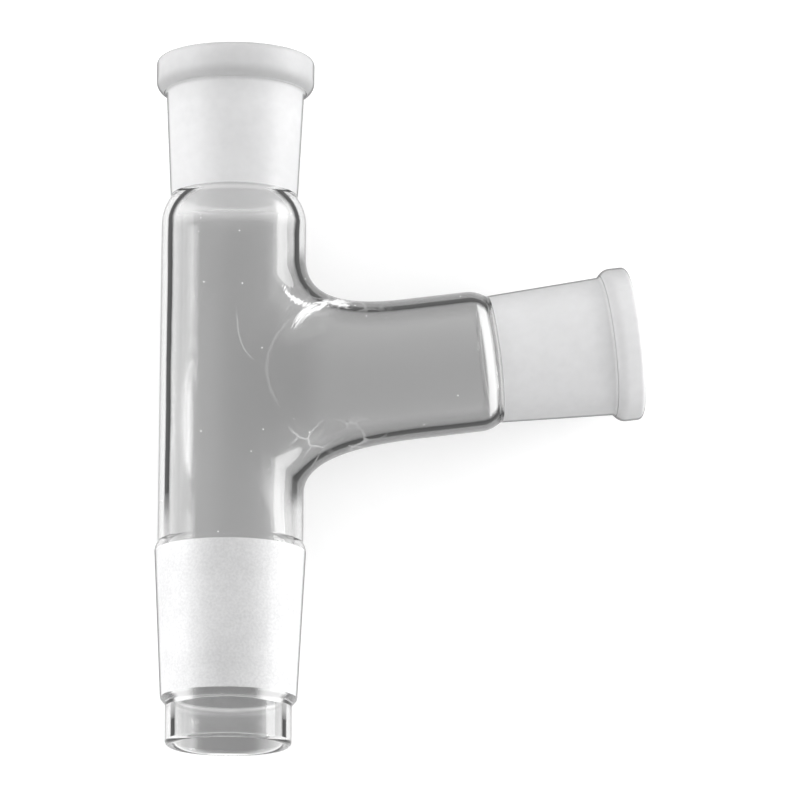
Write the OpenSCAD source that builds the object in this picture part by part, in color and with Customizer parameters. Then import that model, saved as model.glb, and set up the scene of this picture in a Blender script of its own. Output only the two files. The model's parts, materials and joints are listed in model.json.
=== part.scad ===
// Receiver adapter: a straight glass tube with a ground cone below, a ground socket on top and a
// side arm that ends in a second ground socket. It is one piece of glass, and it lies on its side:
// main tube along Y with the top socket at +Y, side arm towards +X, resting on Z = 0.

/* [Ground joints] */
// Length over which the diameter of every ground joint changes by one unit
joint_taper = 10; // [8:0.5:14]
// Large-end diameter of the ground cone
cone_d = 34.5; // [34.2:0.1:40]
// Ground length of the cone
cone_len = 35; // [25:0.5:42]
// Mouth diameter of the ground bore in both sockets
socket_d = 29.2; // [26:0.1:30]
// Ground depth of both sockets
socket_len = 32; // [24:0.5:40]
// Wall of both sockets, outside the ground bore
socket_wall = 1.6; // [1:0.05:2]

/* [Tubes] */
// Outer diameter of the main tube
main_d = 33.2; // [32:0.1:33.8]
// Outer diameter of the side arm
arm_d = 32.2; // [31:0.1:33]
// Wall of the tubes, the cone and the drip tip
wall = 2.2; // [1.4:0.1:2.8]
// Plain tube between the cone's shoulder and the axis of the side arm
tube_below = 35.8; // [34:0.1:120]
// Plain tube between the axis of the side arm and the top shoulder
tube_above = 38.5; // [36:0.1:120]
// Length of the side arm, from the main axis to its shoulder
arm_len = 55.8; // [48:0.1:120]
// Rise of the side arm above square to the main tube, in degrees
arm_rise = 8; // [0:0.5:14]

/* [Drip tip] */
// Outer diameter of the clear tip below the cone
tip_d = 28.7; // [24:0.1:30]
// Length of the tip, from its end to the ground zone
tip_len = 10.7; // [6:0.1:40]
// Height of the slope between tip and ground zone
tip_slope = 1.3; // [0.6:0.1:3]

/* [Rims] */
// Diameter of the bead round the top mouth
top_rim_d = 36.3; // [35.4:0.1:40]
// Height of the bead round the top mouth
top_rim_h = 7.9; // [5.5:0.1:12]
// Diameter of the bead round the side mouth
side_rim_d = 35.2; // [34.8:0.1:40]
// Height of the bead round the side mouth
side_rim_h = 6.5; // [5.5:0.1:12]
// Height of the rounded underside of both beads
rim_under = 2.8; // [1.5:0.1:3.8]
// Rounding of the outer edge of both beads
rim_edge = 1.2; // [0.4:0.1:1.6]
// Rounding of the inner edge of both mouths
mouth_edge = 0.7; // [0.3:0.1:1.1]

/* [Blown shoulders and tee] */
// Length of the shoulder between main tube and top socket
top_shoulder = 6.3; // [3:0.1:10]
// Length of the shoulder between side arm and side socket
side_shoulder = 4.4; // [3:0.1:10]
// Clear neck between each of these shoulders and the ground bore
neck_len = 0.8; // [0.3:0.1:3]
// Reach of the cone's rounded shoulder to each side of its large end
cone_round = 0.95; // [0.6:0.05:1.5]
// How far above the side arm's axis the tee's blend leaves the main tube
blend_up = 31; // [26:0.5:33]
// How far below the side arm's axis the tee's blend leaves the main tube
blend_down = 24; // [22:0.5:31]
// How far from the main axis the tee's blend reaches the side arm's plain tube
blend_reach = 41; // [34:0.5:45]
// Fullness of the tee's blend: 0 is a flat chamfer and 1 is a sharp corner
blend_full = 0.68; // [0.5:0.02:0.86]

/* [Hidden] */

// Steps along each arc of a section, directions round the tee and steps across its blend
arc_steps = 8;
around = 72;
across = 14;
// Plain tube that the tee adds past its blend, its overlap with the turned pieces, and how far its
// ends step into their walls there
tee_margin = 1.5;
weld_len = 0.8;
weld_step = 0.08;

main_r = main_d / 2;
arm_r = arm_d / 2;
tip_r = tip_d / 2;

// Heights on the main axis, measured from the tip's end
cone_top = tip_len + cone_len;
arm_height = cone_top + cone_round + tube_below;
shoulder_height = arm_height + tube_above;
total_len = shoulder_height + top_shoulder + neck_len + socket_len;

// Lengths along the side arm, measured from the main axis
arm_reach = arm_len + side_shoulder + neck_len + socket_len;

// Reach of the side mouth's rim to +X, and of the widest round part to -X and down
rim_centre_r = side_rim_d / 2 - rim_edge;
x_max = (arm_reach - rim_edge) * cos(arm_rise) + rim_centre_r * sin(arm_rise) + rim_edge;
x_min = -max(top_rim_d, cone_d, main_d) / 2;
rest_r = max(-x_min, side_rim_d / 2);

function reversed(list) = [for (i = [len(list) - 1:-1:0]) list[i]];

// In every section below, a point is [radius, height along the axis].

// Arc that leaves a wide place parallel to the axis and curves in to a narrow one
function bulge(wide, narrow) =
    let (drop = wide[0] - narrow[0], rise = narrow[1] - wide[1])
    let (radius = (drop * drop + rise * rise) / (2 * drop), turn = asin(rise / radius))
    [for (i = [0:arc_steps])
        wide + radius * [cos(turn * i / arc_steps) - 1, sin(turn * i / arc_steps)]];

// Round edge, from its centre, its radius and two angles
function edge(centre, radius, from, to) =
    [for (i = [0:arc_steps])
        let (a = from + (to - from) * i / arc_steps)
        centre + radius * [cos(a), sin(a)]];

// Radius of the ground cone at a height
function cone_r(h) = cone_d / 2 - (cone_top - h) / (2 * joint_taper);

// Radius of a socket's ground bore at a depth below its mouth
function bore_r(depth) = socket_d / 2 - depth / (2 * joint_taper);

// Cone, drip tip and the stub of main tube up to a height: the section of their wall
function cone_section(stub) =
    let (small = cone_r(tip_len), large_h = cone_top - cone_round, large = cone_r(large_h))
    let (shoulder = bulge([large, large_h], [main_r, cone_top + cone_round]))
    concat(
        edge([tip_r - wall / 2, wall / 2], wall / 2, 180, 360),
        [[tip_r, tip_len - tip_slope], [small, tip_len]],
        shoulder,
        [[main_r, stub]],
        [[main_r - wall, stub]],
        [for (p = reversed(shoulder)) p - [wall, 0]],
        [[small - wall, tip_len], [tip_r - wall, tip_len - tip_slope]]
    );

// Socket with its shoulder and a stub of tube from a height up: the section of its wall
function socket_section(stub, tube_r, tube_end, shoulder_len, rim_r, rim_h) =
    let (neck = tube_end + shoulder_len, mouth = neck + neck_len + socket_len)
    let (neck_r = bore_r(socket_len + neck_len) + socket_wall, bore_end_r = bore_r(socket_len))
    let (under_r = bore_r(rim_h) + socket_wall, under = mouth - rim_h)
    concat(
        [[tube_r, stub]],
        bulge([tube_r, tube_end], [neck_r, neck]),
        reversed(bulge([rim_r, under + rim_under], [under_r, under])),
        edge([rim_r - rim_edge, mouth - rim_edge], rim_edge, 0, 90),
        edge([bore_r(mouth_edge) + mouth_edge, mouth - mouth_edge], mouth_edge, 90, 180),
        [[bore_end_r, mouth - socket_len]],
        reversed(bulge([tube_r - wall, tube_end], [bore_end_r, neck - wall / 2])),
        [[tube_r - wall, stub]]
    );

module turned(section) {
    rotate_extrude($fn = around)
        polygon(section);
}

// The tee. Its origin is where the axes cross, a direction f round either axis is 0 towards the top
// socket for the arm and 0 towards the arm for the main tube, and 90 is the same side for both.

// Point of the side arm's tube in direction f, at a length along the arm
function on_arm(f, r, length) =
    length * [cos(arm_rise), 0, sin(arm_rise)]
    + r * [-cos(f) * sin(arm_rise), sin(f), cos(f) * cos(arm_rise)];

// Length along the arm at which direction f of its tube would meet the main tube
function meeting(f, main, arm) =
    (sqrt(max(0, main * main - pow(arm * sin(f), 2))) + arm * cos(f) * sin(arm_rise)) / cos(arm_rise);

// Direction round the main tube where the blend of direction f of the arm starts. The starts of all
// directions are one smooth oval on the tube, half way round it at its widest.
function footing(f) = 90 * sin(f);

// The blend of direction f is a cubic curve. It leaves the main tube's surface towards the place
// where the plain tubes would meet, and ends along the side arm. t runs from 0 to 1.
function blend(f, main, arm, t) =
    let (out = [cos(footing(f)), sin(footing(f)), 0])
    let (start = main * out + [0, 0, cos(f) * (cos(f) > 0 ? blend_up : blend_down)])
    let (corner = on_arm(f, arm, meeting(f, main, arm)), end = on_arm(f, arm, blend_reach))
    let (lead = corner - start, along = lead - (lead * out) * out)
    let (u = 1 - t)
    u * u * u * start
    + 3 * u * u * t * (start + blend_full * along)
    + 3 * u * t * t * (corner + (1 - blend_full) * (end - corner))
    + t * t * t * end;

// Ring round the main tube at a height. In front it departs from that height by up to a depth, to
// follow the oval of the blend's starts.
function main_ring(r, height, dip = 0) = [
    for (f = turns)
        let (front = cos(f) > 0, a = front ? footing(f) : f)
        [r * cos(a), r * sin(a), height + (front ? dip * cos(f) : 0)]
];

// Rings of one surface of the tee, out along each of its three tubes. step narrows the last ring.
function up_rings(main, step) = [
    main_ring(main, 0, blend_up),
    main_ring(main, blend_up + tee_margin),
    main_ring(main - step, blend_up + tee_margin + weld_len)
];
function down_rings(main, step) = [
    main_ring(main, 0, -blend_down),
    main_ring(main, -blend_down - tee_margin),
    main_ring(main - step, -blend_down - tee_margin - weld_len)
];
function arm_rings(main, arm, step) = concat(
    [for (i = [0:across]) [for (f = turns) blend(f, main, arm, i / across)]],
    [[for (f = turns) on_arm(f, arm - step, blend_reach + weld_len)]]
);

turns = [for (i = [0:around - 1]) i * 360 / around];

// Triangles between neighbouring rings, from the number of the first point on
function ring_faces(first, rings, flip) = [
    for (r = [0:rings - 2], i = [0:around - 1])
        let (a = first + r * around + i, b = first + r * around + (i + 1) % around)
        each flip
            ? [[a, a + around, b + around], [a, b + around, b]]
            : [[a, b + around, a + around], [a, b, b + around]]
];

// Each tube of the tee runs out on its outer surface and back on its inner one.
module tee() {
    inner_main = main_r - wall;
    inner_arm = arm_r - wall;
    up = concat(up_rings(main_r, weld_step), reversed(up_rings(inner_main, -weld_step)));
    down = concat(down_rings(main_r, weld_step), reversed(down_rings(inner_main, -weld_step)));
    arm = concat(
        arm_rings(main_r, arm_r, weld_step),
        reversed(arm_rings(inner_main, inner_arm, -weld_step))
    );
    down_first = len(up) * around;
    arm_first = down_first + len(down) * around;
    polyhedron(
        points = [for (ring = concat(up, down, arm)) each ring],
        faces = concat(
            ring_faces(0, len(up), true),
            ring_faces(down_first, len(down), false),
            ring_faces(arm_first, len(arm), false)
        )
    );
}

// The piece standing on its tip, with the main axis on Z
module standing() {
    turned(cone_section(arm_height - blend_down - tee_margin - weld_len / 2));
    translate([0, 0, arm_height])
        tee();
    turned(socket_section(
        arm_height + blend_up + tee_margin + weld_len / 2,
        main_r, shoulder_height, top_shoulder, top_rim_d / 2, top_rim_h
    ));
    translate([0, 0, arm_height])
        rotate([0, 90 - arm_rise, 0])
            turned(socket_section(
                blend_reach + weld_len / 2,
                arm_r, arm_len, side_shoulder, side_rim_d / 2, side_rim_h
            ));
}

module adapter() {
    color("gainsboro")
        translate([-(x_min + x_max) / 2, -total_len / 2, rest_r])
            rotate([-90, 0, 0])
                standing();
}

adapter();
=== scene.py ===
import json
import math

import bpy
import numpy as np
from mathutils import Matrix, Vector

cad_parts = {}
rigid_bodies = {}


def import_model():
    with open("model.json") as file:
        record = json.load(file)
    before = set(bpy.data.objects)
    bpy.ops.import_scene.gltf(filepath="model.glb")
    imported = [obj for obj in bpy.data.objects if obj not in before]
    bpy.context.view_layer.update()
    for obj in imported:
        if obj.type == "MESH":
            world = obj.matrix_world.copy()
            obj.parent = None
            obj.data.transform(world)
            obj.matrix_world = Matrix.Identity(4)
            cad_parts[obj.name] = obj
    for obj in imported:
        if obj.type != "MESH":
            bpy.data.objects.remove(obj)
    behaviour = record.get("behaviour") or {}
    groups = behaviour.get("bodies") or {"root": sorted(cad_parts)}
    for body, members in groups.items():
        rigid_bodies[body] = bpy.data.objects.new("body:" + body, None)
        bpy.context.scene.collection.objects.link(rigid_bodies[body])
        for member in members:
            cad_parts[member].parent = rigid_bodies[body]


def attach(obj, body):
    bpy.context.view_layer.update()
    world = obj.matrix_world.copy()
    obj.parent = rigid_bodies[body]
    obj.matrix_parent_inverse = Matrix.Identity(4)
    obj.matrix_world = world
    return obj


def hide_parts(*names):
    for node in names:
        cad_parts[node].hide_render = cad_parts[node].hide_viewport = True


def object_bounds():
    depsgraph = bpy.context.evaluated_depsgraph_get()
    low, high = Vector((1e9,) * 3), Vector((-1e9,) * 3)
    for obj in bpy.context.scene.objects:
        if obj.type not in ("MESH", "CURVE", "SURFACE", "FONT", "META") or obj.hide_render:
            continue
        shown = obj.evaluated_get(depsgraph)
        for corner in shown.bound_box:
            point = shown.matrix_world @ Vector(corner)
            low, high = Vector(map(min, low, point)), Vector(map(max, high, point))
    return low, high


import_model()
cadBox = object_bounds()
mm = 0.001
print("frame loaded, box in mm:", [[round(v / mm, 2) for v in corner] for corner in cadBox])

# Sizes of the blown body in mm. Heights run up the main axis from the end of the drip tip.
glassBody = {
    "columns": 176,  # mesh columns round every tube
    "jointTaper": 10.0,
    "coneD": 34.5, "coneLen": 35.0, "coneRound": 0.95,
    "socketD": 29.2, "socketLen": 32.0, "socketWall": 1.6,
    "mainD": 33.2, "armD": 32.2, "wall": 2.2,
    "tubeBelow": 35.8, "tubeAbove": 38.5,
    "armLen": 55.8, "armRise": math.radians(8.0),
    "tipD": 28.7, "tipLen": 10.7, "tipSlope": 1.3,
    "topRim": (36.3, 7.9), "sideRim": (35.2, 6.5),  # diameter and height of each bead
    "rimUnder": 2.8, "rimEdge": 1.2, "mouthEdge": 0.7,
    "topShoulder": 6.3, "sideShoulder": 4.4, "neckLen": 0.8,
    "blendUp": 31.0, "blendDown": 24.0, "blendReach": 41.0, "blendFull": 0.68,
    "teeMargin": 1.5, "blendRows": 40,
    "evenOut": 16.0,  # how far past the tee the mesh columns come back to even spacing
    # melted corners: how far from the corner each one starts
    "coneCorner": 0.35, "tipCorner": 0.5, "footCorner": 0.5, "boreCorner": 0.3, "neckCorner": 0.4,
}
# finish of a stretch of wall: polished, ground, outside of a tube, outside of a socket
clear, ground, skin, satin = 0, 1, 2, 3


def arc(wide, narrow, steps=10):
    # Arc that leaves `wide` parallel to the axis and curves in to `narrow`: the centre lies on the
    # level of `wide`, at the distance where both points are one radius away.
    wide, narrow = np.array(wide, float), np.array(narrow, float)
    drop, rise = wide[0] - narrow[0], narrow[1] - wide[1]
    radius = (drop * drop + rise * rise) / (2 * drop)
    a = np.linspace(0, math.asin(rise / radius), steps + 1)
    return np.stack([wide[0] + radius * (np.cos(a) - 1), wide[1] + radius * np.sin(a)], 1)


def edge(centre, radius, start, end, steps=10):
    # Circular edge: centre plus radius times (cos, sin) of an angle that runs from start to end.
    a = np.radians(np.linspace(start, end, steps + 1))
    return np.array(centre) + radius * np.stack([np.cos(a), np.sin(a)], 1)


def softCorner(before, corner, after, size, steps=4):
    # Quadratic curve that cuts a corner, starting and ending `size` away from it.
    before, corner, after = (np.array(p, float) for p in (before, corner, after))
    a = corner + size * (before - corner) / np.linalg.norm(before - corner)
    b = corner + size * (after - corner) / np.linalg.norm(after - corner)
    t = np.linspace(0, 1, steps + 1)[:, None]
    return (1 - t) ** 2 * a + 2 * t * (1 - t) * corner + t ** 2 * b


def section(stretches, guard=0.3, reach=5.0):
    # Joins stretches of (points, finish) into one polyline of [radius, height]. A gap between two
    # stretches is a straight wall with the finish of the stretch that follows it. Long straight
    # walls get a row `guard` inside each end and rows `reach` apart, so that shading stays flat.
    points, finish = [stretches[0][0][0]], []
    for shape, kind in stretches:
        for p in shape:
            p = np.array(p, float)
            step = np.linalg.norm(p - points[-1])
            if step < 1e-6:
                continue
            if step > 4 * guard:
                inner = np.linspace(guard, step - guard, max(2, int(step / reach) + 2)) / step
                points += [points[-1] + (p - points[-1]) * t for t in inner]
                finish += [kind] * len(inner)
            points.append(p)
            finish.append(kind)
    return np.array(points), finish


def sleeve(rings, finish, flip, store):
    # Quads between neighbouring rings of (ring, column, xyz), added to the store of one mesh.
    count, columns = rings.shape[:2]
    first = store["count"]
    ring, column = np.meshgrid(np.arange(count - 1), np.arange(columns), indexing="ij")
    a = first + ring * columns + column
    b = first + ring * columns + (column + 1) % columns
    quads = np.stack([a, b, b + columns, a + columns], -1)
    if flip:
        quads = quads[..., ::-1]
    store["points"].append(rings.reshape(-1, 3))
    store["quads"].append(quads.reshape(-1, 4))
    store["finish"].append(np.repeat(finish, columns))
    store["count"] += count * columns


def glassMesh(s):
    # The wall is a circle carried along each tube's section, outside and inside in one strip. The
    # three strips meet in the tee: the front of the main tube is cut by an oval, from which a
    # cubic curve runs out to the arm in every direction.
    store = {"points": [], "quads": [], "finish": [], "count": 0}
    f = np.arange(s["columns"]) * 2 * math.pi / s["columns"]
    cosF = np.round(np.cos(f), 12)
    sinF = np.round(np.sin(f), 12)
    front = cosF > 0
    oval = np.where(front, sinF * math.pi / 2, f)  # column angle where the arm's oval runs
    mainR, armR, tipR, wall = s["mainD"] / 2, s["armD"] / 2, s["tipD"] / 2, s["wall"]
    coneTop = s["tipLen"] + s["coneLen"]
    crossing = coneTop + s["coneRound"] + s["tubeBelow"]
    shoulderH = crossing + s["tubeAbove"]
    rise = s["armRise"]

    def coneR(h):
        return s["coneD"] / 2 - (coneTop - h) / (2 * s["jointTaper"])

    def boreR(depth):
        return s["socketD"] / 2 - depth / (2 * s["jointTaper"])

    def mainRings(profile, near, far):
        # Circles of the profile's radii and heights. Their columns slide from the oval's spacing
        # at the height `near` to an even spacing at the height `far`.
        t = np.clip((profile[:, 1] - near) / (far - near), 0, 1)[:, None]
        turn = np.where(front, oval, f)
        turn = turn + (np.where(f > math.pi, f - 2 * math.pi, f) - np.where(
            turn > math.pi, turn - 2 * math.pi, turn)) * t * t * (3 - 2 * t)
        r, h = profile[:, :1], profile[:, 1:]
        return np.stack([r * np.cos(turn), r * np.sin(turn), h + 0 * turn], -1)

    def footRing(r, depth):
        # Circle of the main tube at the crossing, with its front half lowered to the oval.
        h = crossing + np.where(front, depth * cosF, 0)
        return np.stack([r * np.cos(oval), r * np.sin(oval), h], -1)[None]

    def mainSleeve(stretches, depth, flip):
        profile, finish = section(stretches)
        near, far = profile[0, 1], crossing + np.sign(depth) * (abs(depth) + s["evenOut"])
        rings = mainRings(profile, near, far)
        rings = np.concatenate([footRing(mainR, depth), rings, footRing(mainR - wall, depth)])
        sleeve(rings, [skin] + finish + [clear], flip, store)

    # cone and drip tip
    small, largeH = coneR(s["tipLen"]), coneTop - s["coneRound"]
    shoulder = arc([coneR(largeH), largeH], [mainR, coneTop + s["coneRound"]])
    slope = ([small, s["tipLen"]], [tipR, s["tipLen"] - s["tipSlope"]])
    foot = [[tipR, wall / 2]]
    stub = crossing - s["blendDown"] - s["teeMargin"]
    inset = np.array([wall, 0])
    slopeTop = softCorner([coneR(largeH), largeH], slope[0], slope[1], s["coneCorner"])
    slopeEnd = softCorner(slope[0], slope[1], foot[0], s["tipCorner"])
    mainSleeve([
        ([[mainR, stub]], skin),
        (shoulder[::-1], skin),
        (slopeTop[:1], ground),
        (slopeTop, skin),
        (slopeEnd, skin),
        (foot, skin),
        (edge([tipR - wall / 2, wall / 2], wall / 2, 0, -180, 16), clear),
        (slopeEnd[::-1] - inset, clear),
        (slopeTop[::-1] - inset, clear),
        (shoulder - inset, clear),
        ([[mainR - wall, stub]], clear),
    ], -s["blendDown"], True)

    def socket(tubeR, tubeEnd, shoulderLen, rim):
        # Section of a socket, from the end of its tube round the mouth and back down the bore.
        neck = tubeEnd + shoulderLen
        mouth = neck + s["neckLen"] + s["socketLen"]
        neckR = boreR(s["socketLen"] + s["neckLen"]) + s["socketWall"]
        boreEndR = boreR(s["socketLen"])
        rimR, rimH = rim[0] / 2, rim[1]
        underR, under = boreR(rimH) + s["socketWall"], mouth - rimH
        outer = arc([tubeR, tubeEnd], [neckR, neck])
        bead = arc([rimR, under + s["rimUnder"]], [underR, under])
        # the socket's foot and the bead's underside are melted round
        footIn = softCorner(outer[-2], outer[-1], [underR, under], s["footCorner"])
        footOut = softCorner(outer[-1], [underR, under], bead[-2], s["footCorner"])
        inner = arc([tubeR - wall, tubeEnd], [boreEndR, neck - wall / 2])
        boreEnd = softCorner([boreR(s["mouthEdge"]), mouth - s["mouthEdge"]],
                             [boreEndR, mouth - s["socketLen"]], inner[-1], s["boreCorner"])
        innerEnd = softCorner([boreEndR, mouth - s["socketLen"]], inner[-1], inner[-2],
                              s["neckCorner"])
        return [
            (outer[:-1], skin),
            (footIn, skin),
            (footOut, satin),
            (bead[::-1][1:], satin),
            (edge([rimR - s["rimEdge"], mouth - s["rimEdge"]], s["rimEdge"], 0, 90), satin),
            (edge([boreR(s["mouthEdge"]) + s["mouthEdge"], mouth - s["mouthEdge"]],
                  s["mouthEdge"], 90, 180), satin),
            (boreEnd[:1], ground),
            (boreEnd, clear),
            (innerEnd, clear),
            (inner[::-1][1:], clear),
        ]

    stub = crossing + s["blendUp"] + s["teeMargin"]
    mainSleeve(
        [([[mainR, stub]], skin)]
        + socket(mainR, shoulderH, s["topShoulder"], s["topRim"])
        + [([[mainR - wall, stub]], clear)],
        s["blendUp"], False)

    def onArm(r, length):
        # Circle of radius r round the arm's axis, at a length along the arm.
        return np.stack([
            length * math.cos(rise) - r * cosF * math.sin(rise),
            r * sinF + 0 * length,
            length * math.sin(rise) + r * cosF * math.cos(rise) + crossing], -1)

    def blend(mainSkin, armSkin, t):
        # Cubic curve from the oval on the main tube to the arm. It starts in the tube's surface
        # towards the place where the plain tubes would meet, and ends along the arm.
        side = sinF * math.pi / 2
        out = np.stack([np.cos(side), np.sin(side), 0 * side], -1)
        depth = np.where(front, s["blendUp"], s["blendDown"]) * cosF
        start = mainSkin * out + np.stack([0 * f, 0 * f, depth + crossing], -1)
        meeting = (np.sqrt(np.maximum(0, mainSkin ** 2 - (armSkin * sinF) ** 2))
                   + armSkin * cosF * math.sin(rise)) / math.cos(rise)
        corner, end = onArm(armSkin, meeting), onArm(armSkin, s["blendReach"] + 0 * f)
        lead = corner - start
        along = lead - np.sum(lead * out, -1, keepdims=True) * out
        t = t[:, None, None]
        return ((1 - t) ** 3 * start + 3 * (1 - t) ** 2 * t * (start + s["blendFull"] * along)
                + 3 * (1 - t) * t ** 2 * (corner + (1 - s["blendFull"]) * (end - corner))
                + t ** 3 * end)

    # side arm
    rows = s["blendRows"]
    t = np.linspace(0, 1, rows + 1)
    profile, finish = section(
        [([[armR, s["blendReach"]]], skin)]
        + socket(armR, s["armLen"], s["sideShoulder"], s["sideRim"])
        + [([[armR - wall, s["blendReach"]]], clear)])
    rings = np.concatenate([
        blend(mainR, armR, t[:-1]),
        onArm(profile[:, :1], profile[:, 1:]),
        blend(mainR - wall, armR - wall, t[:-1])[::-1]])
    sleeve(rings, [skin] * rows + finish + [clear] * rows, True, store)

    points = np.concatenate(store["points"])
    quads = np.concatenate(store["quads"])
    finish = np.concatenate(store["finish"])
    x, y, z = points.T
    marks = wallMarksAndPaintedLight(x, z - crossing, s, blowMarksAndPaintedLight)
    # lay the body down: x stays, the height becomes Y, and the far side becomes the floor side
    mouth = shoulderH + s["topShoulder"] + s["neckLen"] + s["socketLen"]
    reach = s["armLen"] + s["sideShoulder"] + s["neckLen"] + s["socketLen"] - s["rimEdge"]
    xMax = (reach * math.cos(rise) + (s["sideRim"][0] / 2 - s["rimEdge"]) * math.sin(rise)
            + s["rimEdge"])
    restR = s["topRim"][0] / 2
    points = np.stack([x - (xMax - restR) / 2, z - mouth / 2, restR - y], -1) * mm
    return points, quads, finish, marks


def soft(value, start, end):
    # Cubic step: 0 up to `start`, 1 from `end` on, 3t^2 - 2t^3 between them.
    t = np.clip((value - start) / (end - start), 0, 1)
    return t * t * (3 - 2 * t)


def settle(x, level, rise, start, length):
    # Curve that starts off its level and nears it: level + rise e^(-(x - start) / length).
    return level + rise * np.exp(-(x - start) / length)


# Marks that blowing and melting left on the wall, and the places of painted shade and painted
# highlights on it, in mm: `x` from the main axis towards the arm, `up` from the crossing towards
# the top socket, `aside` from the arm's axis, `past` from the end of the arm's plain tube. A pair
# is the start and end of a fade.
blowMarksAndPaintedLight = {
    "armX": (15.5, 24.0),  # the main tube's painted shade by angle gives way to the arm's
    "flareX": (10.0, 14.0), "flareAside": (11.0, 15.0), "flareRim": (26.0, 31.0),
    "filletEnd": (29.0, 36.0), "tipUp": (-75.0, -72.0), "dimUp": (22.0, 38.0),
    # painted shade: a dark line beside an outline, weaker low on the main tube and below the arm
    "lineUp": (-36.0, -27.0), "lineLow": 0.5,
    "lineX": (0.0, 10.0), "lineArmUp": (-5.0, 10.0), "lineCut": 0.65,
    # seam: an oval round the arm's foot, faint at its lower end
    "seamMiddle": (27.0, 1.6), "seamReach": (20.5, 17.5), "seamMean": 18.0,
    "seamX": (5.0, 6.0), "seamEnd": (26.0, 32.0), "seamUp": (-8.0, -4.0), "seamLow": 0.15,
    # painted highlight, a splash of white: its line as level, rise, start and length, and its
    # width above and below
    "splashLine": (16.0, -6.5, 12.7, 3.5), "splashWidth": (1.3, 2.0),
    "splashX": (11.5, 14.0), "splashEnd": (25.0, 29.0), "gapLimit": 20.0,
    # the short arm of the painted highlight that comes down from above
    "spurLine": (15.0, 4.5, 10.9, 2.2), "spurWidth": 0.8, "spurLevel": 1.6,
    "spurX": (10.0, 12.0), "spurEnd": (14.5, 17.5),
    # drawn glare, which is no reflection: a white band and a thin line round the side shoulder
    "bandPast": (0.9, 1.5), "bandEnd": (3.0, 3.5),
    "ringPast": 4.4, "ringWidth": 0.3, "ringLevel": 0.6,
    # more painted glare: below the top shoulder, and on both sides of the slope above the tip
    "topPaintedGlare": 0.4, "topPaintedGlareLen": 2.0,
    "slopeMiddle": -1.3, "slopeSide": (6.0, 9.0), "slopeUp": (-73.7, -71.0), "slopeLevel": 0.9,
    # painted glare low on the arm's side of the main tube: it starts at the edge, which moves in
    # by the shift
    "lowEdge": 8.0, "lowShift": 3.0, "lowShiftUp": (-33.0, -26.0), "lowFade": 2.5,
    "lowEnd": (12.0, 14.0), "lowTop": (-27.0, -22.0), "lowBottom": -36.0, "lowLevel": 0.3,
    # painted shade, a darker tone on the sockets: all of the top one, the beads and the creases
    # below them, and the upper and lower sides of the side one
    "socketPaintedShade": 0.2, "topBeadPaintedShade": 0.55, "sideBeadPaintedShade": 0.05, "beadStart": (-0.2, 0.2),
    "creasePaintedShade": 0.6, "creaseAt": 0.1, "creaseWidth": 0.24,  # shares of a bead's height
    "paintedShadeAside": (9.0, 21.0), "paintedShadeX": (50.0, 55.0), "paintedShadeBelow": 0.3,
}


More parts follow.
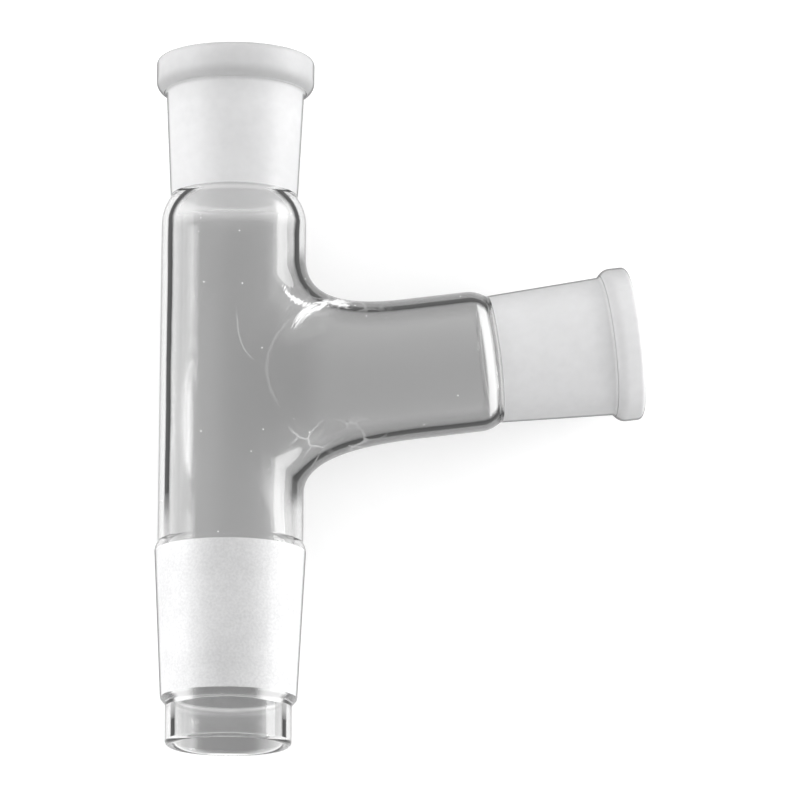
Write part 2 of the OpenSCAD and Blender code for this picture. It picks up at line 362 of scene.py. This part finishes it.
def wallMarksAndPaintedLight(x, up, s, m):
    # Marks of blowing, and painted highlights and painted shade, at each point: x from the main
    # axis and `up` from the crossing.
    along = x * math.cos(s["armRise"]) + up * math.sin(s["armRise"])
    above = up * math.cos(s["armRise"]) - x * math.sin(s["armRise"])  # from the arm's axis
    aside = np.abs(above)
    past = along - s["armLen"]
    tip = 1 - soft(up, *m["tipUp"])
    paintedDarkLine = (m["lineLow"] + (1 - m["lineLow"]) * soft(up, *m["lineUp"])) * (
        1 - m["lineCut"] * soft(x, *m["lineX"]) * (1 - soft(up, *m["lineArmUp"])))

    # the arm's foot flares from the main tube above and below it
    flare = soft(aside, *m["flareAside"]) * (1 - soft(aside, *m["flareRim"])) * soft(
        x, *m["flareX"])
    arm = np.maximum(soft(x, *m["armX"]), flare)
    seamX, seamUp = m["seamMiddle"]
    reachX, reachUp = m["seamReach"]

    # painted highlight: a splash of white runs along the upper flare, and a short spur comes down
    # to it
    limit = m["gapLimit"]
    gap = np.clip(aside - settle(x, *m["splashLine"]), -limit, limit)
    splashHighlight = np.exp(-(gap / np.where(gap > 0, *m["splashWidth"])) ** 2) * soft(
        x, *m["splashX"]) * (1 - soft(x, *m["splashEnd"]))
    spurGap = np.clip(aside - settle(x, *m["spurLine"]), -limit, limit)
    spurHighlight = m["spurLevel"] * np.exp(-(spurGap / m["spurWidth"]) ** 2) * soft(
        x, *m["spurX"]) * (1 - soft(x, *m["spurEnd"]))

    # drawn glare
    paintedBand = arm * soft(past, *m["bandPast"]) * (1 - soft(past, *m["bandEnd"]))
    ring = arm * m["ringLevel"] * np.exp(-((past - m["ringPast"]) / m["ringWidth"]) ** 2)
    topPaintedGlare = m["topPaintedGlare"] * soft(up, s["tubeAbove"] - m["topPaintedGlareLen"], s["tubeAbove"])
    slopeLow, slopeHigh = m["slopeUp"]
    slope = m["slopeLevel"] * soft(np.abs(x - m["slopeMiddle"]), *m["slopeSide"]) * (
        up > slopeLow) * (up < slopeHigh)
    lowEdge = m["lowEdge"] - m["lowShift"] * soft(up, *m["lowShiftUp"])
    low = m["lowLevel"] * soft(x, lowEdge, lowEdge + m["lowFade"]) * (
        1 - soft(x, *m["lowEnd"])) * (1 - soft(up, *m["lowTop"])) * (up > m["lowBottom"])

    # painted shade, with each bead's height counted from 0 at its underside to 1 at the mouth
    topEnd = s["tubeAbove"] + s["topShoulder"] + s["neckLen"] + s["socketLen"]
    sideEnd = s["armLen"] + s["sideShoulder"] + s["neckLen"] + s["socketLen"]
    topBead = (up - topEnd + s["topRim"][1]) / s["topRim"][1]
    sideBead = np.where(x > np.mean(m["armX"]), (along - sideEnd + s["sideRim"][1])
                        / s["sideRim"][1], -9)
    topFoot = topEnd - s["socketLen"]
    beside = soft(x, *m["paintedShadeX"])

    def beadPaintedShade(depth, level):
        crease = m["creasePaintedShade"] * np.exp(-((depth - m["creaseAt"]) / m["creaseWidth"]) ** 2)
        return level * soft(depth, *m["beadStart"]) + crease

    return {
        "across": x,
        "up": up,
        "arm": arm,
        "paintedDarkLine": np.maximum(paintedDarkLine * (1 - arm) + arm, tip),
        "tip": tip,
        "dim": soft(up, *m["dimUp"]) * (1 - arm),
        # mm from the seam
        "seam": m["seamMean"] * (np.hypot((x - seamX) / reachX, (up - seamUp) / reachUp) - 1),
        "seamShare": soft(x, *m["seamX"]) * (1 - soft(x, *m["seamEnd"])) * (
            m["seamLow"] + (1 - m["seamLow"]) * soft(up, *m["seamUp"])),
        "fillet": flare * (1 - soft(x, *m["filletEnd"])),
        "paintedGlare": np.maximum.reduce([paintedBand, ring, topPaintedGlare, slope, low]),
        "gap": gap,
        "splashHighlight": np.maximum(splashHighlight, spurHighlight) * (up > 0),
        "paintedShade": np.maximum.reduce([
            m["socketPaintedShade"] * soft(up, topFoot - s["neckLen"], topFoot),
            beadPaintedShade(topBead, m["topBeadPaintedShade"]), beadPaintedShade(sideBead, m["sideBeadPaintedShade"]),
            soft(above, *m["paintedShadeAside"]) * beside,
            m["paintedShadeBelow"] * soft(-above, *m["paintedShadeAside"]) * beside]),
    }


def makeMesh(name, points, faces):
    # Smooth mesh object at the origin, with the points and faces of two arrays.
    mesh = bpy.data.meshes.new(name)
    mesh.vertices.add(len(points))
    mesh.vertices.foreach_set("co", points.astype(np.float32).ravel())
    size = faces.shape[1]
    mesh.loops.add(faces.size)
    mesh.loops.foreach_set("vertex_index", faces.astype(np.int32).ravel())
    mesh.polygons.add(len(faces))
    mesh.polygons.foreach_set("loop_start", np.arange(len(faces), dtype=np.int32) * size)
    mesh.update(calc_edges=True)
    mesh.polygons.foreach_set("use_smooth", np.ones(len(faces), bool))
    piece = bpy.data.objects.new(name, mesh)
    bpy.context.scene.collection.objects.link(piece)
    return piece


points, quads, finish, marks = glassMesh(glassBody)
# one vertex for each place: points that round to the same ten-thousandth of a mm are joined
grid = np.round(points / (1e-4 * mm))
keep, where = np.unique(grid, axis=0, return_index=True, return_inverse=True)[1:]
adapter = makeMesh("adapterGlass", points[keep], where.reshape(-1)[quads])
adapter.data.polygons.foreach_set("material_index", finish.astype(np.int32))
for name, values in marks.items():
    adapter.data.attributes.new(name, "FLOAT", "POINT").data.foreach_set(
        "value", values[keep].astype(np.float32))
adapter.data.update()
print("glass body:", len(keep), "points,", len(quads), "quads")


finishes = {
    "polished": {"color": (1.0, 1.0, 1.0), "roughness": 0.06, "ior": 1.47, "specular": 0.1},
    # painted shade and highlight: these greys by angle draw the dark and bright lines and the dark
    # rim beside a tube's outline in place of refraction, darker on the arm
    # Stops are (facing, grey), from the middle of a tube to its outline: at 1 for light that
    # enters the glass, and at 0.27, the widest angle within it, for light that leaves. They
    # are not the absorption of real glass.
    "tube": {"roughness": 0.08, "ior": 1.47, "specular": 0.28,
             "tubeIn": [(0.0, 0.9), (0.44, 0.9), (0.50, 0.8), (0.60, 0.97), (0.76, 1.0),
                        (0.84, 0.1), (1.0, 0.0)],
             "armIn": [(0.0, 0.9), (0.25, 0.88), (0.38, 0.7), (0.47, 0.4), (0.57, 0.12),
                       (0.66, 0.06), (0.84, 0.05), (1.0, 0.0)],
             "lineStops": [(0.0, 0.0), (0.43, 0.0), (0.48, 1.0), (0.58, 1.0), (0.62, 0.0)],
             "tubeOut": [(0.0, 0.17), (0.06, 0.19), (0.087, 0.24), (0.123, 0.31), (0.161, 0.45),
                         (0.2, 0.77), (0.27, 0.77), (0.33, 0.4)],
             "armOut": [(0.0, 0.235), (0.09, 0.235), (0.12, 0.2), (0.15, 0.16), (0.175, 0.13),
                        (0.2, 0.3), (0.27, 0.85), (0.4, 0.85)],
             # painted shade: light leaving the tip's window, and the main tube towards the top
             # socket, is darkened
             "tipDark": 0.6, "tipFade": (0.04, 0.12), "topDark": 0.1,
             "wobble": 0.02, "wobbleScale": 70.0,  # uneven wall
             # cracks in the fillets, partly painted highlight: white cell borders, in patches and
             # no further than crackReach outside the seam
             "crackScale": 170.0, "crackWidth": 0.06, "crackBend": 3.0, "crackStrength": 0.45,
             "crackReach": 5.0, "patchScale": 90.0, "patchSpan": (0.45, 0.55),
             "seamWidth": 0.5, "seamStrength": 0.11,
             # the strands of the painted highlight's splash: noise steps a mm along and across it,
             # bend, what the noise adds, and the sum's span from clear to white
             "strandPitch": (0.35, 0.8), "strandBend": 0.7, "strandAdds": (-0.45, 0.35),
             "splashSpan": (0.35, 0.9), "splashLeast": 0.05,
             # hairline scratch: x = hairReach e^(-up / hairLen), faded in and out over `up`
             "hairLen": 3.2, "hairReach": 12.2, "hairStart": (2.5, 4.5), "hairEnd": (12.0, 16.0),
             "hairWidth": 0.3, "hairStrength": 0.25,
             # strength of the painted glare, a white highlight that fades where the wall is seen
             # at a slant
             "paintedGlare": 0.85, "paintedGlareFacing": (0.4, 0.5),
             # cells whose random grey is over speckRare have a speck
             "speckScale": 330.0, "speckSize": 0.055, "speckRare": 0.62,
             "markClear": 0.2},  # transmission left under a mark
    "satin": {"color": (0.985, 0.985, 0.99), "shade": (0.915, 0.915, 0.92), "roughness": 0.5,
              "ior": 1.47, "specular": 0.5, "transmission": 0.45,
              "grain": 500.0, "cloud": 1.0, "bump": 0.1,
              # the last of these is the strength of the painted shade on the sockets
              "patchScale": 60.0, "patch": 0.01, "paintedShade": 0.38,
              # painted shade by angle: a grey outline
              "edgeStops": [(0.0, 0.95), (0.2, 1.0), (0.76, 1.0), (0.84, 0.35), (1.0, 0.0)]},
    "ground": {"color": (0.86, 0.86, 0.865), "shade": (0.74, 0.74, 0.746), "roughness": 0.6,
               "ior": 1.47, "specular": 0.5, "transmission": 0.2,
               "grain": 1800.0, "cloud": 0.25, "bump": 0.5,
               "patchScale": 110.0, "patch": 0.07, "paintedShade": 0.0,
               # painted shade by angle: a grey outline and a darker front on the cone
               "edgeStops": [(0.0, 0.74), (0.05, 0.78), (0.2, 0.97), (0.3, 1.0), (0.76, 1.0),
                             (0.84, 0.35), (1.0, 0.0)]},
}
noiseSpan = (0.35, 0.65)  # most values of a noise lie between these
cloudSize = 8.0  # grains across one cloud
bumpDepth = 0.05 * mm


def newMaterial(name, look=None, transmission=1.0):
    # Material and its node tree. With a look, its shader is glass of the look's own numbers.
    material = bpy.data.materials.new(name)
    material.use_nodes = True
    if look:
        shader = material.node_tree.nodes["Principled BSDF"]
        shader.inputs["Roughness"].default_value = look["roughness"]
        shader.inputs["IOR"].default_value = look["ior"]
        shader.inputs["Specular IOR Level"].default_value = look["specular"]
        shader.inputs["Transmission Weight"].default_value = transmission
    return material, material.node_tree


def node(tree, kind, inputs={}, **settings):
    # Adds a node. An input is a number, a colour, or another node's output.
    made = tree.nodes.new(kind)
    for name, value in settings.items():
        setattr(made, name, value)
    for name, value in inputs.items():
        if isinstance(value, bpy.types.NodeSocket):
            tree.links.new(value, made.inputs[name])
        else:
            made.inputs[name].default_value = value
    return made


def calc(tree, operation, *values):
    return node(tree, "ShaderNodeMath", dict(enumerate(values)), operation=operation).outputs[0]


def ramp(tree, value, stops):
    # Grey that follows the stops of (place, grey).
    made = node(tree, "ShaderNodeValToRGB", {"Fac": value})
    elements = made.color_ramp.elements
    elements.remove(elements[1])
    for i, (place, grey) in enumerate(stops):
        stop = elements[0] if i == 0 else elements.new(place)
        stop.position, stop.color = place, (grey, grey, grey, 1)
    return made.outputs["Color"]


def spread(tree, value, start, end, first=0.0, last=1.0):
    # Maps start..end to first..last and holds the ends.
    return node(tree, "ShaderNodeMapRange", {
        "Value": value, "From Min": start, "From Max": end, "To Min": first, "To Max": last,
    }).outputs["Result"]


def noise(tree, scale, detail=2.0):
    place = node(tree, "ShaderNodeTexCoord").outputs["Object"]
    return node(tree, "ShaderNodeTexNoise", {
        "Vector": place, "Scale": scale, "Detail": detail}).outputs["Fac"]


def facing(tree):
    # 0 where the surface faces the ray, 1 where the ray grazes it.
    return node(tree, "ShaderNodeLayerWeight", {"Blend": 0.5}).outputs["Facing"]


def mixed(tree, factor, a, b):
    return node(tree, "ShaderNodeMix", {"Factor": factor, "A": a, "B": b},
                data_type="RGBA").outputs["Result"]


def mark(tree, name):
    # One of the values left on the mesh: marks of blowing, and the places of painted shade and
    # painted highlights.
    return node(tree, "ShaderNodeAttribute", attribute_name=name).outputs["Fac"]


def polishedGlass(look):
    material, tree = newMaterial("polishedGlass", look)
    tree.nodes["Principled BSDF"].inputs["Base Color"].default_value = (*look["color"], 1)
    return material


def tubeGlass(look):
    # Clear wall. Its tint on entering and leaving follows the angle of view and is partly painted
    # shade and highlight: the dark and bright lines beside an outline stand in for refraction. On
    # its skin lie cracks that are partly painted highlight, a seam, a splash of painted highlight,
    # a scratch, specks and the painted glare.
    material, tree = newMaterial("tubeGlass", look)
    shader = tree.nodes["Principled BSDF"]
    black, white = (0, 0, 0, 1), (1, 1, 1, 1)
    place = node(tree, "ShaderNodeTexCoord").outputs["Object"]
    inside = node(tree, "ShaderNodeNewGeometry").outputs["Backfacing"]
    arm, across, up, seam = (mark(tree, name) for name in ("arm", "across", "up", "seam"))

    # tint of the wall, with painted shade and highlight by angle: the dark line, the bright bands,
    # and darker light leaving at the tip and towards the top socket
    uneven = noise(tree, look["wobbleScale"])
    toward = calc(tree, "ADD", facing(tree), spread(
        tree, uneven, 0.0, 1.0, -look["wobble"], look["wobble"]))
    entering = mixed(tree, arm, ramp(tree, toward, look["tubeIn"]),
                     ramp(tree, toward, look["armIn"]))
    paintedDarkLine = calc(tree, "MULTIPLY", ramp(tree, toward, look["lineStops"]), mark(tree, "paintedDarkLine"))
    entering = mixed(tree, paintedDarkLine, entering, black)
    leaving = mixed(tree, arm, ramp(tree, facing(tree), look["tubeOut"]),
                    ramp(tree, facing(tree), look["armOut"]))
    tipDark = spread(tree, facing(tree), *look["tipFade"], look["tipDark"], 0.0)
    leaving = mixed(tree, calc(tree, "MULTIPLY", mark(tree, "tip"), tipDark), leaving, black)
    topDark = calc(tree, "MULTIPLY", mark(tree, "dim"), look["topDark"])
    leaving = mixed(tree, topDark, leaving, black)
    tintAndPaintedShade = mixed(tree, inside, entering, leaving)

    # cracks, partly painted highlight: borders of large cells, bent by noise
    bend = node(tree, "ShaderNodeTexNoise", {"Vector": place, "Scale": look["crackScale"]})
    bend = node(tree, "ShaderNodeVectorMath", {
        0: bend.outputs["Color"], "Scale": look["crackBend"] * mm}, operation="SCALE")
    bent = node(tree, "ShaderNodeVectorMath", {0: place, 1: bend.outputs[0]}, operation="ADD")
    border = node(tree, "ShaderNodeTexVoronoi", {
        "Vector": bent.outputs[0], "Scale": look["crackScale"]},
        feature="DISTANCE_TO_EDGE").outputs["Distance"]
    crack = calc(
        tree, "MULTIPLY",
        spread(tree, border, 0.0, look["crackWidth"], look["crackStrength"], 0.0),
        spread(tree, noise(tree, look["patchScale"]), *look["patchSpan"]))
    crack = calc(tree, "MULTIPLY", crack, calc(
        tree, "MULTIPLY", mark(tree, "fillet"),
        spread(tree, seam, 0.0, look["crackReach"], 1.0, 0.0)))

    # seam: bright where the distance from it, made uneven, is near zero
    seamLine = calc(tree, "ABSOLUTE", calc(tree, "ADD", seam, uneven))
    seamLine = spread(tree, seamLine, 0.0, look["seamWidth"], look["seamStrength"], 0.0)
    seamLine = calc(tree, "MULTIPLY", seamLine, mark(tree, "seamShare"))

    # splash of painted highlight: strands of noise drawn out along it
    strand = node(tree, "ShaderNodeCombineXYZ", {
        "X": calc(tree, "MULTIPLY", across, look["strandPitch"][0]),
        "Y": calc(tree, "MULTIPLY", mark(tree, "gap"), look["strandPitch"][1])})
    strand = node(tree, "ShaderNodeTexNoise", {
        "Vector": strand.outputs[0], "Scale": 1.0, "Detail": 3.0,
        "Distortion": look["strandBend"]}).outputs["Fac"]
    share = mark(tree, "splashHighlight")
    splashHighlight = spread(tree, calc(tree, "ADD", share, spread(
        tree, strand, *noiseSpan, *look["strandAdds"])), *look["splashSpan"])
    splashHighlight = calc(tree, "MULTIPLY", splashHighlight, calc(
        tree, "GREATER_THAN", share, look["splashLeast"]))

    # scratch: its distance from the main axis dies away upwards
    curl = calc(tree, "MULTIPLY", calc(tree, "EXPONENT", calc(
        tree, "DIVIDE", up, -look["hairLen"])), look["hairReach"])
    hair = spread(tree, calc(tree, "ABSOLUTE", calc(tree, "SUBTRACT", across, curl)),
                  0.0, look["hairWidth"], look["hairStrength"], 0.0)
    hair = calc(tree, "MULTIPLY", hair, calc(
        tree, "MULTIPLY", spread(tree, up, *look["hairStart"]),
        spread(tree, up, *look["hairEnd"], 1.0, 0.0)))

    # painted glare: white highlights in place of reflections, fading at a slant
    paintedGlare = calc(tree, "MULTIPLY", mark(tree, "paintedGlare"), spread(
        tree, toward, *look["paintedGlareFacing"], look["paintedGlare"], 0.0))
    cells = node(tree, "ShaderNodeTexVoronoi", {"Vector": place, "Scale": look["speckScale"]})
    speck = calc(
        tree, "MULTIPLY",
        calc(tree, "LESS_THAN", cells.outputs["Distance"], look["speckSize"]),
        calc(tree, "GREATER_THAN", cells.outputs["Color"], look["speckRare"]))

    # the marks show only where light enters the glass
    marked = crack
    for other in (seamLine, splashHighlight, hair, speck, paintedGlare):
        marked = calc(tree, "MAXIMUM", marked, other)
    marked = calc(tree, "MULTIPLY", marked, calc(tree, "SUBTRACT", 1.0, inside))
    tree.links.new(mixed(tree, marked, tintAndPaintedShade, white), shader.inputs["Base Color"])
    tree.links.new(spread(tree, marked, 0.0, 1.0, 1.0, look["markClear"]),
                   shader.inputs["Transmission Weight"])
    return material


def frosted(name, look):
    # Rough glass: fine grain in its shade and its bump, soft patches, painted shade on the
    # sockets, and painted shade by angle that gives a grey outline and, on the ground cone, a
    # darker front.
    material, tree = newMaterial(name, look, look["transmission"])
    shader = tree.nodes["Principled BSDF"]
    black = (0, 0, 0, 1)
    grain = noise(tree, look["grain"], 4.0)
    cloud = calc(tree, "MULTIPLY", noise(tree, look["grain"] / cloudSize), look["cloud"])
    both = spread(tree, calc(tree, "ADD", grain, cloud),
                  *(end * (1 + look["cloud"]) for end in noiseSpan))
    shade = mixed(tree, both, (*look["shade"], 1), (*look["color"], 1))
    patch = spread(tree, noise(tree, look["patchScale"]), *noiseSpan, 0.0, look["patch"])
    shade = mixed(tree, patch, shade, black)
    # painted shade on the sockets
    paintedShade = calc(tree, "MULTIPLY", mark(tree, "paintedShade"), look["paintedShade"])
    shade = mixed(tree, paintedShade, shade, black)
    # painted shade by angle: a grey outline and, on the ground cone, a darker front
    shade = mixed(tree, ramp(tree, facing(tree), look["edgeStops"]), black, shade)
    bump = node(tree, "ShaderNodeBump", {
        "Strength": look["bump"], "Distance": bumpDepth, "Height": grain})
    tree.links.new(shade, shader.inputs["Base Color"])
    tree.links.new(bump.outputs["Normal"], shader.inputs["Normal"])
    return material


adapter.data.materials.append(polishedGlass(finishes["polished"]))
adapter.data.materials.append(frosted("groundGlass", finishes["ground"]))
adapter.data.materials.append(tubeGlass(finishes["tube"]))
adapter.data.materials.append(frosted("satinGlass", finishes["satin"]))
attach(adapter, "root")
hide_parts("adapter")
print("finishes set")


studio = {
    "floorSize": 4.0, "floorColor": (0.55, 0.55, 0.55), "floorGlow": 0.55,
    "sky": (0.42, 0.9),  # level at the horizon and overhead
    "lamps": [  # name, place, size, watts
        ("leftBox", (-0.9, 0.05, 0.18), (1.4, 0.34), 1.5),
        ("leftFill", (-0.85, 0.1, 0.35), (0.5, 0.5), 6.0),
        ("rightBox", (0.9, 0.05, 0.16), (1.4, 0.4), 7.5),
        ("rightFill", (0.85, 0.1, 0.35), (0.5, 0.5), 3.5),
    ],
    "lens": 315.0, "sensor": 36.0, "clip": (0.05, 20.0),
    "distance": 1.5806, "pixel": 0.2258,  # mm at the object for one pixel
    "tilt": 12.32, "swing": 3.90, "roll": -1.21,  # degrees
    "tipAt": (-172.0, -346.4),  # pixels from the middle of the picture to the tip's end
}


def backgroundRays(tree):
    # 1 for rays that show the pale background: straight to the camera, mirrored or through glass.
    rays = node(tree, "ShaderNodeLightPath").outputs
    return calc(tree, "MAXIMUM", rays["Is Camera Ray"], calc(
        tree, "MAXIMUM", rays["Is Glossy Ray"], rays["Is Transmission Ray"]))


def buildFloor(s):
    half = s["floorSize"] / 2
    corners = np.array([[-half, -half, 0], [half, -half, 0], [half, half, 0], [-half, half, 0]])
    floor = makeMesh("floor", corners, np.array([[0, 1, 2, 3]]))
    material, tree = newMaterial("floorPaper")
    tree.nodes.remove(tree.nodes["Principled BSDF"])
    glow = node(tree, "ShaderNodeEmission", {
        "Strength": calc(tree, "MULTIPLY", backgroundRays(tree), s["floorGlow"])})
    paper = node(tree, "ShaderNodeBsdfDiffuse", {"Color": (*s["floorColor"], 1)})
    both = node(tree, "ShaderNodeAddShader", {0: paper.outputs[0], 1: glow.outputs[0]})
    tree.links.new(both.outputs[0], tree.nodes["Material Output"].inputs["Surface"])
    floor.data.materials.append(material)


def buildLamps(s):
    for name, place, size, watts in s["lamps"]:
        light = bpy.data.lights.new(name, "AREA")
        light.shape = "ELLIPSE"
        light.size, light.size_y = size
        light.energy = watts
        lamp = bpy.data.objects.new(name, light)
        lamp.location = place
        # the lamp's -Z looks at the object
        back = np.array(place) / np.linalg.norm(place)
        across = np.cross([0, 0, 1], back)
        across /= np.linalg.norm(across)
        turn = np.stack([across, np.cross(back, across), back], 1)
        lamp.rotation_euler = Matrix(turn.tolist()).to_euler()
        # the fills light the ground parts and leave no square in the clear ones
        lamp.visible_glossy = lamp.visible_transmission = name.endswith("Box")
        bpy.context.scene.collection.objects.link(lamp)
    world = bpy.data.worlds.new("studioAir")
    world.use_nodes = True
    tree = world.node_tree
    towards = node(tree, "ShaderNodeTexCoord").outputs["Generated"]
    height = node(tree, "ShaderNodeSeparateXYZ", {0: towards}).outputs["Z"]
    air = tree.nodes["Background"]
    air.inputs["Color"].default_value = (1, 1, 1, 1)
    sky = spread(tree, height, 0.0, 1.0, *s["sky"])
    level = calc(tree, "MAXIMUM", sky, backgroundRays(tree))
    tree.links.new(level, air.inputs["Strength"])
    bpy.context.scene.world = world


def buildCamera(s):
    # The camera is turned about its own axes, and placed so that the tip's end falls at tipAt.
    tilt, swing, roll = (math.radians(s[k]) for k in ("tilt", "swing", "roll"))
    aboutX = np.array([[1, 0, 0], [0, math.cos(tilt), math.sin(tilt)],
                       [0, -math.sin(tilt), math.cos(tilt)]])
    aboutY = np.array([[math.cos(swing), 0, math.sin(swing)], [0, 1, 0],
                       [-math.sin(swing), 0, math.cos(swing)]])
    aboutZ = np.array([[math.cos(roll), -math.sin(roll), 0],
                       [math.sin(roll), math.cos(roll), 0], [0, 0, 1]])
    axes = aboutZ @ aboutY @ aboutX  # rows: the camera's right, up and back in the object's frame
    restR = glassBody["topRim"][0] / 2 * mm
    tipEnd = np.array([cadBox[0][0] + restR, cadBox[0][1], restR])
    offset = np.array([-s["tipAt"][0] * s["pixel"] * mm, -s["tipAt"][1] * s["pixel"] * mm,
                       s["distance"]])
    place = tipEnd + axes.T @ offset
    data = bpy.data.cameras.new("camera")
    data.lens, data.sensor_width = s["lens"], s["sensor"]
    data.clip_start, data.clip_end = s["clip"]
    camera = bpy.data.objects.new("camera", data)
    camera.matrix_world = Matrix.Translation(place.tolist()) @ Matrix(axes.T.tolist()).to_4x4()
    bpy.context.scene.collection.objects.link(camera)
    bpy.context.scene.camera = camera


buildFloor(studio)
buildLamps(studio)
buildCamera(studio)
bpy.context.scene.view_settings.view_transform = "Standard"
print("floor, lamps and camera set")
